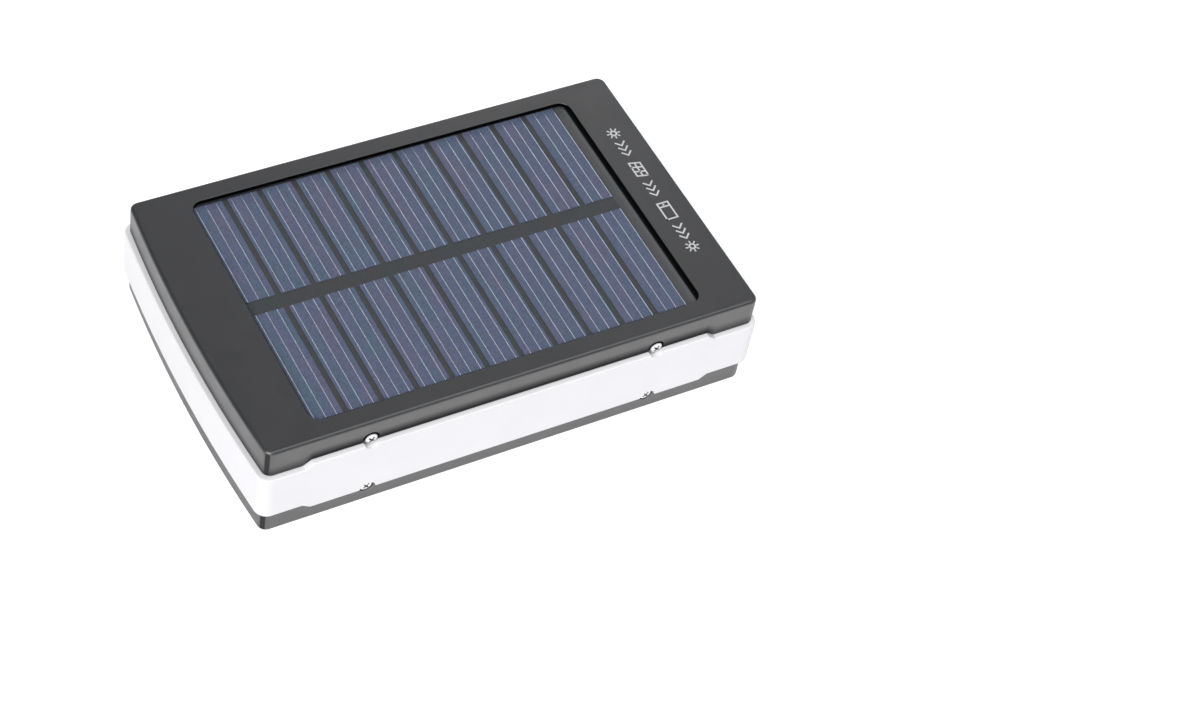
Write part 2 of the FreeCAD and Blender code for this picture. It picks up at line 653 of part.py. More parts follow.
def power_button():
    """The button's cap, with a flange behind the end wall that keeps it in."""
    cap = button_body((END_INNER_X - FLANGE_THICKNESS - FIT_GAP, LENGTH / 2 + BUTTON_PROUD), 0)
    face = [e for e in cap.Edges if e.BoundBox.XMin > LENGTH / 2 + BUTTON_PROUD - TINY]
    cap = cap.makeFillet(BUTTON_EDGE, face)
    flange = button_body((END_INNER_X - FLANGE_THICKNESS - FIT_GAP, END_INNER_X - FIT_GAP), FLANGE_EXTRA)
    return cap.fuse(flange).removeSplitter()


def switch_body():
    """The push switch on the circuit board, with a bore for its plunger."""
    z = (BOARD_TOP_Z, BOARD_TOP_Z + SWITCH_HEIGHT)
    body = rounded_box(SWITCH_X, centred(BUTTON_Y, SWITCH_WIDTH), z, FRAME_EDGE, X_AXIS)
    depth = PLUNGER_DEPTH + BUTTON_TRAVEL + FIT_GAP
    at = Vector(SWITCH_X[1] - depth, BUTTON_Y, BUTTON_Z)
    return body.cut(Part.makeCylinder(PLUNGER_R + PLUNGER_GAP, depth + OVERSIZE, at, X_AXIS))


def switch_plunger():
    """The plunger between the switch and the button."""
    start = SWITCH_X[1] - PLUNGER_DEPTH
    end = END_INNER_X - FLANGE_THICKNESS - FIT_GAP
    return Part.makeCylinder(PLUNGER_R, end - start, Vector(start, BUTTON_Y, BUTTON_Z), X_AXIS)


def indicator_leds():
    """Small lamps on the circuit board behind the light pipes."""
    z = (BOARD_TOP_Z, BOARD_TOP_Z + LED_SIZE[2] + PIPE_R)
    x = (LED_X, LED_X + LED_SIZE[0])
    return Part.makeCompound([box(x, centred(y, LED_SIZE[1]), z) for y in led_places()])


def light_pipes():
    """Clear pins that carry the lamps' light to the outside of the end wall."""
    start = LED_X + LED_SIZE[0] + FIT_GAP
    end = LENGTH / 2 + PIPE_PROUD
    pipes = []
    for y in led_places():
        pipe = Part.makeCylinder(PIPE_R, end - start, Vector(start, y, PIPE_Z), X_AXIS)
        tip = [e for e in pipe.Edges if e.BoundBox.XMin > end - TINY]
        pipes.append(pipe.makeFillet(PIPE_EDGE, tip))
    return Part.makeCompound(pipes)


def inductor_core():
    """A drum-shaped ferrite core that stands on the circuit board."""
    x, y = INDUCTOR_AT
    top = BOARD_TOP_Z + INDUCTOR_HEIGHT
    core = Part.makeCylinder(INDUCTOR_NECK_R, INDUCTOR_HEIGHT, Vector(x, y, BOARD_TOP_Z), Z_AXIS)
    for z in (BOARD_TOP_Z, top - INDUCTOR_FLANGE):
        core = core.fuse(Part.makeCylinder(INDUCTOR_R, INDUCTOR_FLANGE, Vector(x, y, z), Z_AXIS))
    return core.removeSplitter()


def inductor_winding():
    """The copper winding between the core's flanges."""
    x, y = INDUCTOR_AT
    height = INDUCTOR_HEIGHT - 2 * INDUCTOR_FLANGE
    at = Vector(x, y, BOARD_TOP_Z + INDUCTOR_FLANGE)
    outer = Part.makeCylinder(INDUCTOR_R - FRAME_EDGE, height, at, Z_AXIS)
    return outer.cut(Part.makeCylinder(INDUCTOR_NECK_R, height, at, Z_AXIS))


def capacitors():
    """Two can capacitors beside the USB-A sockets."""
    cans = []
    for x, y in CAPACITOR_AT:
        can = Part.makeCylinder(CAPACITOR_R, CAPACITOR_HEIGHT, Vector(x, y, BOARD_TOP_Z), Z_AXIS)
        cans.append(can.makeFillet(FRAME_EDGE, edges_at(can, BOARD_TOP_Z + CAPACITOR_HEIGHT)))
    return Part.makeCompound(cans)


def control_chips():
    """The charge and boost controllers."""
    length, width, height = CHIP_SIZE
    z = (BOARD_TOP_Z, BOARD_TOP_Z + height)
    return Part.makeCompound([box(centred(x, length), centred(y, width), z) for x, y in CHIP_AT])


def all_parts():
    """Every node's name and shape."""
    parts = {
        "top_cover": cover(TOP_SKIRT, with_window=True),
        "bottom_cover": mirrored_down(cover(BOTTOM_SKIRT, with_window=False)),
        "mid_frame": mid_frame(),
        "cover_screws": cover_screws(),
        "panel_board": panel_slab((PANEL_LOW_Z, PANEL_BOARD_TOP_Z)),
        "solar_strips_back": solar_strips(BACK_ROW_Y),
        "solar_strips_front": solar_strips(FRONT_ROW_Y),
        "solar_grid_lines": grid_lines(),
        "panel_film": panel_film(),
        "panel_tape": panel_tape(),
        "panel_leads": panel_leads(),
        "cell_insulators": cell_insulators(),
        "battery_strip_positive": battery_strip(1),
        "battery_strip_negative": battery_strip(-1),
        "foam_pad_top": foam_pad((CELL_Z + CELL_R + FOAM_GAP, PANEL_LOW_Z - FOAM_GAP)),
        "foam_pad_bottom": foam_pad((COVER_WALL, CELL_Z - CELL_R - FOAM_GAP)),
        "circuit_board": circuit_board(),
        "board_screws": board_screws(),
        "micro_usb_shell": micro_usb_shell(),
        "micro_usb_insert": micro_usb_insert(),
        "power_button": power_button(),
        "switch_body": switch_body(),
        "switch_plunger": switch_plunger(),
        "indicator_leds": indicator_leds(),
        "light_pipes": light_pipes(),
        "inductor_core": inductor_core(),
        "inductor_winding": inductor_winding(),
        "capacitors": capacitors(),
        "control_chips": control_chips(),
    }
    for index in range(CELL_COUNT):
        parts[f"battery_cell_{index + 1}"] = battery_cell(index)
    for name, y in (("left", -USB_Y), ("right", USB_Y)):
        parts[f"usb_shell_{name}"] = usb_shell(y)
        parts[f"usb_insert_{name}"] = usb_insert(y)
        parts[f"usb_contacts_{name}"] = usb_contacts(y)
    return parts


def main():
    os.makedirs("parts", exist_ok=True)
    for name, shape in all_parts().items():
        assert shape.isValid(), name
        shape.exportStep(f"parts/{name}.step")
        print(name, len(shape.Solids), round(shape.Volume, 2))


main()
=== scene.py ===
"""Looks for the solar phone charger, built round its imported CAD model. Blender units are metres."""

import json
import math

import bmesh
import bpy
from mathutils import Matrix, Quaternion, Vector


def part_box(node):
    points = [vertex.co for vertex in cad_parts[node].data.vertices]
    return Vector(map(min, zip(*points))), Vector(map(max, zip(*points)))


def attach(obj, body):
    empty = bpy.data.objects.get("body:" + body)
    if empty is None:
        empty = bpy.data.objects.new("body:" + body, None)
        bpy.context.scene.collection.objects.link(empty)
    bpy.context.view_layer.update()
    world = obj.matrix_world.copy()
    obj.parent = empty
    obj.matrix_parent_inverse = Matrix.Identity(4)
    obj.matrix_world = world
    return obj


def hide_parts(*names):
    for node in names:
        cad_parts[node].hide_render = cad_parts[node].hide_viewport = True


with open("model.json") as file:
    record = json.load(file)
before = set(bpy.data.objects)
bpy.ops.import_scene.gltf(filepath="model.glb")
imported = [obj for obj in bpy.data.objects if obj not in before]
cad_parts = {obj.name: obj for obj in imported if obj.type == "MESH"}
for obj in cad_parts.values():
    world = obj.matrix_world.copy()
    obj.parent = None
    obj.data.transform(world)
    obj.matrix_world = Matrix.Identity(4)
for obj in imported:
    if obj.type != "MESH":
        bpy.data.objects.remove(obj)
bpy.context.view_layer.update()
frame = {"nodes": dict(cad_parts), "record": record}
nodes = frame["nodes"]

MM = 0.001
CASE = "case"
COVER_LOW, COVER_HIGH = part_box("top_cover")
FILM_LOW, FILM_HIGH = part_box("panel_film")
LINES_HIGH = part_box("solar_grid_lines")[1]
SCREW_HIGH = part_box("cover_screws")[1]
MID_Z = COVER_HIGH.z / 2

# Places on the case that the materials follow
TAB_DEPTH = 1.25 * MM                 # how much deeper the skirts are round the corners
TAB_SLOPE_X = (46.8 * MM, 48.7 * MM)  # where a skirt's edge slopes to that depth
TAPE_STEP_X = 46.6 * MM               # where the foam strip covers the panel's margin
WINDOW_BACK_Y = 32.3 * MM             # the window's edge at the back
SCREW_X = 33.7 * MM                   # the cover screws' axes
SCREW_DROP = 5.2 * MM                 # from a screw's axis to the top face or to the underside
SCREW_HEAD_R = 1.45 * MM
SCREW_OUTER = 3 * MM                  # the heads lie within this depth, the board's screws don't
SCREW_CROWN = 0.3 * MM                # depth to which the outside of a head stays free of painted shade

# Where painted shade, painted shadow and a painted dark reflection darken the surfaces
SKIRT_DARK = (0.85, 0.5)              # strength of the painted shade at a skirt's free edge: long sides, corners
SKIRT_FADE = (1.0 * MM, 3.2 * MM)     # height above the free edge: where it starts to fade, and ends
# strength of the painted dark reflection down an upright corner
CORNER_DARK = 0.75
CORNER_BEND = (0.38, 0.46)            # where the stripe begins and is full; 0.5 is halfway round
CUT_FADE = (0.15 * MM, 0.05 * MM)     # the window's cut edge: depth where the painted shade is full, and ends
CUT_REACH_X = 1.5 * MM                # how far that edge lies past the film at +X
BAND_WIDTH = 0.45 * MM                # the painted shadow along the window's back edge: its width at the -X end
BAND_SOFT = 0.12 * MM
BAND_END_X = 25 * MM                  # where it has narrowed to nothing
RIM_FADE = (0.26 * MM, 0.12 * MM)     # inside a head's rim: where the painted shade ring begins, and is full
RECESS_SHADE_FADE = 0.2 * MM                 # how much deeper than the unshaded part the painted shade in the recess is full


# ---------------------------------------------------------------- camera, lights and floor

def make_camera():
    """A long lens above the front left corner, turned a little about its own axis."""
    azimuth, elevation, roll = math.radians(-37.48), math.radians(48.94), math.radians(12.36)
    aim, distance = Vector((31.69, -21.23, 0)) * MM, 606.5 * MM
    back = Vector((
        math.sin(azimuth) * math.cos(elevation),
        -math.cos(azimuth) * math.cos(elevation),
        math.sin(elevation),
    ))
    data = bpy.data.cameras.new("camera")
    data.sensor_width, data.lens = 36.0, 81.5
    data.clip_start, data.clip_end = 0.01, 20
    camera = bpy.data.objects.new("camera", data)
    camera.location = aim + back * distance
    camera.rotation_mode = "QUATERNION"
    camera.rotation_quaternion = (-back).to_track_quat("-Z", "Y") @ Quaternion((0, 0, 1), roll)
    bpy.context.scene.collection.objects.link(camera)
    bpy.context.scene.camera = camera


def area_light(name, place, size, power):
    """A soft square lamp that faces the object."""
    data = bpy.data.lights.new(name, "AREA")
    data.shape, data.size, data.energy = "SQUARE", size, power
    lamp = bpy.data.objects.new(name, data)
    lamp.location = place
    lamp.rotation_mode = "QUATERNION"
    lamp.rotation_quaternion = (-Vector(place)).to_track_quat("-Z", "Y")
    bpy.context.scene.collection.objects.link(lamp)


def see_through_from_below(mat, shader):
    """Lets a viewer under the floor see the object's underside."""
    tree = mat.node_tree
    side = tree.nodes.new("ShaderNodeNewGeometry")
    clear = tree.nodes.new("ShaderNodeBsdfTransparent")
    mix = tree.nodes.new("ShaderNodeMixShader")
    tree.links.new(side.outputs["Backfacing"], mix.inputs[0])
    tree.links.new(shader.outputs["BSDF"], mix.inputs[1])
    tree.links.new(clear.outputs["BSDF"], mix.inputs[2])
    tree.links.new(mix.outputs["Shader"], tree.nodes["Material Output"].inputs["Surface"])


def make_stage():
    """A pale floor under a light sky, with three soft boxes round the object."""
    mesh = bpy.data.meshes.new("floor")
    half, level = 6.0, -0.05 * MM
    corners = [(-half, -half, level), (half, -half, level), (half, half, level), (-half, half, level)]
    mesh.from_pydata(corners, [], [(0, 1, 2, 3)])
    floor = bpy.data.objects.new("floor", mesh)
    bpy.context.scene.collection.objects.link(floor)
    glow = {"Emission_Color": (1, 1, 1, 1), "Emission_Strength": 0.45}
    mat, shader = new_material("floor_paper", (0.92, 0.92, 0.92), 0.8, **glow)
    see_through_from_below(mat, shader)
    mesh.materials.append(mat)
    world = bpy.data.worlds.new("studio")
    world.use_nodes = True
    sky = world.node_tree.nodes["Background"]
    sky.inputs["Color"].default_value = (0.93, 0.95, 1.0, 1)
    sky.inputs["Strength"].default_value = 0.26
    bpy.context.scene.world = world
    area_light("key_light", (-1.9, -1.55, 2.1), 1.8, 89)
    area_light("top_light", (0.75, -0.5, 2.0), 1.6, 13)
    area_light("back_light", (1.32, 1.95, 1.42), 0.7, 5)
    view = bpy.context.scene.view_settings
    view.view_transform, view.look, view.exposure, view.gamma = "Standard", "None", 0, 1


# ---------------------------------------------------------------- materials

def new_material(name, color, roughness, **even):
    """A material with one Principled shader. Values that are the same all over go on its sockets."""
    mat = bpy.data.materials.new(name)
    mat.use_nodes = True
    shader = mat.node_tree.nodes["Principled BSDF"]
    shader.inputs["Base Color"].default_value = (*color, 1)
    shader.inputs["Roughness"].default_value = roughness
    for socket, value in even.items():
        shader.inputs[socket.replace("_", " ")].default_value = value
    return mat, shader


def place_coordinates(mat, stretch=(1, 1, 1), kind="Object"):
    """Object coordinates, which are metres in the part's own frame, stretched along the axes."""
    tree = mat.node_tree
    source = tree.nodes.new("ShaderNodeTexCoord")
    mapping = tree.nodes.new("ShaderNodeMapping")
    mapping.inputs["Scale"].default_value = stretch
    tree.links.new(source.outputs[kind], mapping.inputs["Vector"])
    return mapping.outputs["Vector"]


def axes(mat, kind="Object"):
    """The three parts of the place, or of the surface's own direction when kind is Normal."""
    split = mat.node_tree.nodes.new("ShaderNodeSeparateXYZ")
    mat.node_tree.links.new(place_coordinates(mat, kind=kind), split.inputs["Vector"])
    return split.outputs


def noise(mat, size, detail=2.0, stretch=(1, 1, 1)):
    """A noise value whose features are about that size in metres."""
    node = mat.node_tree.nodes.new("ShaderNodeTexNoise")
    node.inputs["Scale"].default_value = 1 / size
    node.inputs["Detail"].default_value = detail
    mat.node_tree.links.new(place_coordinates(mat, stretch), node.inputs["Vector"])
    return node.outputs["Fac"]


def grains(mat, size, stretch=(1, 1, 1)):
    """A random grey for each crystal-like patch of about that size."""
    node = mat.node_tree.nodes.new("ShaderNodeTexVoronoi")
    node.inputs["Scale"].default_value = 1 / size
    mat.node_tree.links.new(place_coordinates(mat, stretch), node.inputs["Vector"])
    split = mat.node_tree.nodes.new("ShaderNodeSeparateColor")
    mat.node_tree.links.new(node.outputs["Color"], split.inputs["Color"])
    return split.outputs["Red"]


def ramp(mat, value, stops):
    """A colour ramp over a value: stops are (position, colour)."""
    node = mat.node_tree.nodes.new("ShaderNodeValToRGB")
    elements = node.color_ramp.elements
    while len(elements) < len(stops):
        elements.new(0.5)
    for element, (position, color) in zip(elements, stops):
        element.position, element.color = position, (*color, 1)
    mat.node_tree.links.new(value, node.inputs["Fac"])
    return node.outputs["Color"]


def mix_color(mat, amount, a, b, blend="MIX"):
    """Two colours mixed. The amount is a number or a value from a node, and b may be a plain colour."""
    node = mat.node_tree.nodes.new("ShaderNodeMix")
    node.data_type, node.blend_type = "RGBA", blend
    if isinstance(amount, float):
        node.inputs[0].default_value = amount
    else:
        mat.node_tree.links.new(amount, node.inputs[0])
    mat.node_tree.links.new(a, node.inputs[6])
    if isinstance(b, tuple):
        node.inputs[7].default_value = (*b, 1)
    else:
        mat.node_tree.links.new(b, node.inputs[7])
    return node.outputs[2]


def spread(mat, value, low, high, start=0.3, end=0.7):
    """A value stretched from one range, which is a noise's unless given, to another."""
    node = mat.node_tree.nodes.new("ShaderNodeMapRange")
    for socket, number in (("From Min", start), ("From Max", end), ("To Min", low), ("To Max", high)):
        node.inputs[socket].default_value = number
    mat.node_tree.links.new(value, node.inputs["Value"])
    return node.outputs["Result"]


def calculate(mat, operation, a, b=0.0):
    """One step of arithmetic; a and b are numbers or values from nodes."""
    node = mat.node_tree.nodes.new("ShaderNodeMath")
    node.operation = operation
    for socket, value in zip(node.inputs, (a, b)):
        if isinstance(value, (int, float)):
            socket.default_value = value
        else:
            mat.node_tree.links.new(value, socket)
    return node.outputs["Value"]


def within(mat, value, low, high):
    """1 where a value lies between two limits and 0 elsewhere."""
    above = calculate(mat, "GREATER_THAN", value, low)
    return both(mat, above, calculate(mat, "LESS_THAN", value, high))


def rising(mat, value, start, end):
    """A mask that goes from 0 to 1 between two values."""
    return spread(mat, value, 0.0, 1.0, start, end)


def falling(mat, value, start, end):
    """A mask that goes from 1 to 0 between two values."""
    return spread(mat, value, 1.0, 0.0, start, end)


def both(mat, a, b):
    """The overlap of two masks."""
    return calculate(mat, "MULTIPLY", a, b)


def blended(mat, amount, value, other):
    """A value that goes over to a fixed number as the amount rises to 1."""
    kept = calculate(mat, "MULTIPLY", calculate(mat, "SUBTRACT", 1.0, amount), value)
    return calculate(mat, "ADD", kept, calculate(mat, "MULTIPLY", amount, other))


def shade(color, factor):
    """A colour made darker or lighter."""
    return tuple(c * factor for c in color)


def tint(mat, shader, value, dark, light):
    """Drives the base colour from one colour to another."""
    color = ramp(mat, value, [(0.3, dark), (0.7, light)])
    mat.node_tree.links.new(color, shader.inputs["Base Color"])


def roughen(mat, shader, value, low, high):
    """Drives the roughness between two values."""
    mat.node_tree.links.new(spread(mat, value, low, high), shader.inputs["Roughness"])


def relief(mat, shader, value, height, strength=1.0):
    """A fine relief of that height in metres."""
    node = mat.node_tree.nodes.new("ShaderNodeBump")
    node.inputs["Distance"].default_value = height
    node.inputs["Strength"].default_value = strength
    mat.node_tree.links.new(value, node.inputs["Height"])
    mat.node_tree.links.new(node.outputs["Normal"], shader.inputs["Normal"])


def moulded(name, color, roughness, grain=0.25 * MM, depth=0.004 * MM, mottle=0.06, **even):
    """Moulded plastic or another even surface: faint mottling, uneven gloss and a fine grain."""
    mat, shader = new_material(name, color, roughness, **even)
    tint(mat, shader, noise(mat, 9 * MM, 3), shade(color, 1 - mottle), shade(color, 1 + mottle))
    roughen(mat, shader, noise(mat, 2.5 * MM, 3), roughness * 0.88, roughness * 1.14)
    relief(mat, shader, noise(mat, grain, 1), depth, 0.5)
    return mat


def metal(name, color, roughness, streak=(1, 1, 1)):
    """Plated or rolled metal with fine streaks."""
    mat, shader = new_material(name, color, roughness, Metallic=1.0)
    tint(mat, shader, noise(mat, 1.2 * MM, 3), shade(color, 0.88), shade(color, 1.06))
    roughen(mat, shader, noise(mat, 0.35 * MM, 2, streak), roughness * 0.7, roughness * 1.35)
    relief(mat, shader, noise(mat, 0.2 * MM, 2, streak), 0.002 * MM, 0.4)
    return mat


def driven_color(mat):
    """A finished material's shader, and the colour from a node that drives it."""
    shader = mat.node_tree.nodes["Principled BSDF"]
    return shader, shader.inputs["Base Color"].links[0].from_socket


def frame_plastic():
    """Smooth white plastic, with painted light on the ledge that faces up under the skirt."""
    color, bright = (0.690, 0.678, 0.696), (0.90, 0.89, 0.905)
    mat = moulded("frame_plastic", color, 0.36, mottle=0.012)
    shader, side = driven_color(mat)
    # painted light: a lighter white on the upward-facing ledge, mixed in by the surface's direction
    ledge = ramp(mat, noise(mat, 9 * MM, 3), [(0.3, shade(bright, 0.99)), (0.7, shade(bright, 1.01))])
    up = rising(mat, axes(mat, "Normal")["Z"], 0.3, 0.9)
    mat.node_tree.links.new(mix_color(mat, up, side, ledge), shader.inputs["Base Color"])
    return mat


def window_cut(mat, x, y, z):
    """A mask of painted shade over the cut edge of the metal round the window."""
    inside = within(mat, x, FILM_LOW.x, FILM_HIGH.x + CUT_REACH_X)
    inside = both(mat, inside, within(mat, y, FILM_LOW.y, FILM_HIGH.y))
    inside = both(mat, inside, calculate(mat, "GREATER_THAN", z, MID_Z))
    deep, shallow = CUT_FADE
    return both(mat, inside, falling(mat, z, COVER_HIGH.z - deep, COVER_HIGH.z - shallow))


def skirt_shade(mat, x, z):
    """A mask of painted shade that fades in towards the free edge of the upper cover's skirt."""
    reach = calculate(mat, "ABSOLUTE", x)
    seam = spread(mat, reach, COVER_LOW.z + TAB_DEPTH, COVER_LOW.z, *TAB_SLOPE_X)
    strength = spread(mat, reach, *SKIRT_DARK, *TAB_SLOPE_X)
    fade = falling(mat, calculate(mat, "SUBTRACT", z, seam), *SKIRT_FADE)
    upper = calculate(mat, "GREATER_THAN", z, MID_Z)
    return both(mat, both(mat, fade, strength), upper)


def corner_shade(mat):
    """A mask of painted dark reflection down the four upright corners."""
    x, y, _ = axes(mat, "Normal")
    bend = calculate(mat, "ABSOLUTE", both(mat, x, y))
    return spread(mat, bend, 0.0, CORNER_DARK, *CORNER_BEND)


def cover_paint():
    """Satin black paint: orange peel, uneven gloss, painted shade at the skirt's and window's edges, a
    painted dark reflection at the corners.
    """
    base, dark = (0.008, 0.008, 0.009), (0.003, 0.003, 0.003)
    mat, shader = new_material("cover_paint", base, 0.4, IOR=2.0)
    x, y, z = axes(mat)
    # painted shade on the skirt's lower edge and the window's cut edge, and a painted dark reflection
    # down the corners: near black, metallic and rougher there
    shadow = calculate(mat, "MAXIMUM", skirt_shade(mat, x, z), corner_shade(mat))
    shadow = calculate(mat, "MAXIMUM", shadow, window_cut(mat, x, y, z))
    mottle = noise(mat, 0.5 * MM, 4)
    painted = ramp(mat, mottle, [(0.3, shade(base, 0.8)), (0.7, shade(base, 1.2))])
    painted_shade_color = ramp(mat, mottle, [(0.3, shade(dark, 0.7)), (0.7, shade(dark, 1.3))])
    links = mat.node_tree.links
    links.new(mix_color(mat, shadow, painted, painted_shade_color), shader.inputs["Base Color"])
    links.new(shadow, shader.inputs["Metallic"])
    gloss = spread(mat, noise(mat, 6 * MM, 4), 0.36, 0.44)
    links.new(blended(mat, shadow, gloss, 0.6), shader.inputs["Roughness"])
    relief(mat, shader, noise(mat, 0.45 * MM, 2), 0.003 * MM, 0.6)
    return mat


def screw_plating():
    """Bright plating, with painted shade on each cover screw's rim, in its recess and on its side."""
    mat = metal("screw_steel", (0.80, 0.80, 0.81), 0.24)
    shader, bright = driven_color(mat)
    x, y, z = axes(mat)
    depth = calculate(mat, "ABSOLUTE", y)
    crown = SCREW_HIGH.y - SCREW_CROWN
    outer = calculate(mat, "GREATER_THAN", depth, SCREW_HIGH.y - SCREW_OUTER)
    across = calculate(mat, "SUBTRACT", calculate(mat, "ABSOLUTE", x), SCREW_X)
    up = calculate(mat, "ABSOLUTE", calculate(mat, "SUBTRACT", z, MID_Z))
    up = calculate(mat, "SUBTRACT", up, MID_Z - SCREW_DROP)
    radius = calculate(mat, "SQRT", calculate(mat, "ADD", both(mat, across, across), both(mat, up, up)))
    wide, narrow = RIM_FADE
    rim = rising(mat, radius, SCREW_HEAD_R - wide, SCREW_HEAD_R - narrow)
    # painted shade: a grey ring round the rim of each cover screw's head
    bright = mix_color(mat, both(mat, outer, rim), bright, (0.33, 0.33, 0.335))
    # painted shade: darker in the cross recess and down the head's side
    recess_shade = falling(mat, depth, crown - RECESS_SHADE_FADE, crown)
    recess_shade_color = ramp(mat, noise(mat, 0.4 * MM, 3), [(0.3, (0.10, 0.10, 0.10)), (0.7, (0.20, 0.20, 0.20))])
    color = mix_color(mat, both(mat, recess_shade, outer), bright, recess_shade_color)
    mat.node_tree.links.new(color, shader.inputs["Base Color"])
    return mat


def overhang_shade(mat, shader, color):
    """Sets the base colour, with a painted shadow along the window's back edge that narrows towards +X.
    """
    x, y, _ = axes(mat)
    width = spread(mat, x, BAND_WIDTH, -BAND_SOFT, FILM_LOW.x, BAND_END_X)
    inside = calculate(mat, "SUBTRACT", y, calculate(mat, "SUBTRACT", WINDOW_BACK_Y, width))
    # painted shadow: near-black navy, and metallic on non-metals, in the band under the window's back
    # edge
    mask = rising(mat, inside, -BAND_SOFT, BAND_SOFT)
    links = mat.node_tree.links
    links.new(mix_color(mat, mask, color, (0.006, 0.006, 0.016)), shader.inputs["Base Color"])
    if shader.inputs["Metallic"].default_value == 0:
        links.new(mask, shader.inputs["Metallic"])


def grid_silver():
    """Thin printed silver lines."""
    mat = metal("grid_silver", (0.75, 0.80, 0.92), 0.42)
    overhang_shade(mat, *driven_color(mat))
    return mat


def silicon():
    """Slate blue silicon whose tint wanders from teal to violet, with small bright and dark grains."""
    mat, shader = new_material("solar_silicon", (0.07, 0.09, 0.16), 0.45, Specular_IOR_Level=0.2)
    patches = ramp(mat, noise(mat, 6 * MM, 2, (1.6, 0.4, 1)), [
        (0.32, (0.068, 0.106, 0.164)), (0.5, (0.078, 0.100, 0.174)), (0.68, (0.100, 0.098, 0.171))])
    crystals = grains(mat, 0.28 * MM, (1, 0.8, 1))
    speckle = ramp(mat, crystals, [(0.0, (0.78, 0.79, 0.82)), (1.0, (1.22, 1.21, 1.19))])
    color = mix_color(mat, 1.0, patches, speckle, "MULTIPLY")
    overhang_shade(mat, shader, color)
    roughen(mat, shader, crystals, 0.40, 0.50)
    return mat


def panel_board():
    """The dark board between the strips, mottled olive and brown, with painted light that makes it
    paler along its margin at +X.
    """
    mat, shader = new_material("panel_board", (0.02, 0.02, 0.02), 0.5)
    mottle = ramp(mat, noise(mat, 5 * MM, 3, (1, 0.45, 1)), [
        (0.32, (0.016, 0.022, 0.018)), (0.5, (0.019, 0.020, 0.020)), (0.68, (0.025, 0.020, 0.018))])
    # painted light: the board turns paler towards the foam strip, making up for the shade under the
    # cover's edge
    margin = rising(mat, axes(mat)["X"], LINES_HIGH.x, TAPE_STEP_X)
    pale = ramp(mat, margin, [
        (0.0, (0, 0, 0)), (0.2, (0.022, 0.022, 0.022)), (0.55, (0.036, 0.035, 0.035)),
        (0.9, (0.085, 0.083, 0.081)), (1.0, (0.12, 0.118, 0.115))])
    color = mix_color(mat, 1.0, mottle, pale, "ADD")
    overhang_shade(mat, shader, color)
    roughen(mat, shader, noise(mat, 0.6 * MM, 3), 0.42, 0.6)
    return mat


def clear_film():
    """A thin clear film that lays a faint haze and a soft shine over the strips."""
    mat, shader = new_material("panel_film", (0.42, 0.45, 0.52), 0.3, Alpha=0.035)
    roughen(mat, shader, noise(mat, 3 * MM, 3), 0.24, 0.36)
    return mat


def cell_sleeve():
    """A shrink sleeve with bare metal at both ends of the cell."""
    color = (0.03, 0.14, 0.34)
    mat, shader = new_material("cell_sleeve", color, 0.32)
    sleeve = ramp(mat, noise(mat, 4 * MM, 3), [(0.35, shade(color, 0.85)), (0.65, shade(color, 1.15))])
    steel = ramp(mat, noise(mat, 1 * MM, 3), [(0.35, (0.50, 0.49, 0.47)), (0.65, (0.66, 0.65, 0.63))])
    along = calculate(mat, "ABSOLUTE", axes(mat, "Normal")["Y"])
    ends = rising(mat, along, 0.9, 0.95)
    mat.node_tree.links.new(mix_color(mat, ends, sleeve, steel), shader.inputs["Base Color"])
    mat.node_tree.links.new(ends, shader.inputs["Metallic"])
    return mat


def circuit_board():
    """Green solder mask over copper tracks."""
    mat, shader = new_material("board_green", (0.02, 0.16, 0.06), 0.35)
    bricks = mat.node_tree.nodes.new("ShaderNodeTexBrick")
    settings = {
        "Scale": 1.0,
        "Mortar Size": 0.22 * MM,
        "Brick Width": 6.1 * MM,
        "Row Height": 1.7 * MM,
        "Color1": (0.012, 0.11, 0.04, 1),
        "Color2": (0.014, 0.125, 0.045, 1),
        "Mortar": (0.05, 0.24, 0.09, 1),
    }
    for socket, value in settings.items():
        bricks.inputs[socket].default_value = value
    mat.node_tree.links.new(place_coordinates(mat), bricks.inputs["Vector"])
    mat.node_tree.links.new(bricks.outputs["Color"], shader.inputs["Base Color"])
    roughen(mat, shader, noise(mat, 2 * MM, 3), 0.28, 0.42)
    return mat


def winding():
    """Enamelled copper wire, turn beside turn."""
    mat, shader = new_material("copper", (0.62, 0.25, 0.10), 0.3, Metallic=1.0)
    wave = mat.node_tree.nodes.new("ShaderNodeTexWave")
    wave.bands_direction = "Z"
    wave.inputs["Scale"].default_value = 1 / (2.5 * MM)
    mat.node_tree.links.new(place_coordinates(mat), wave.inputs["Vector"])
    tint(mat, shader, wave.outputs["Fac"], (0.36, 0.12, 0.04), (0.70, 0.30, 0.13))
    relief(mat, shader, wave.outputs["Fac"], 0.15 * MM)
    return mat


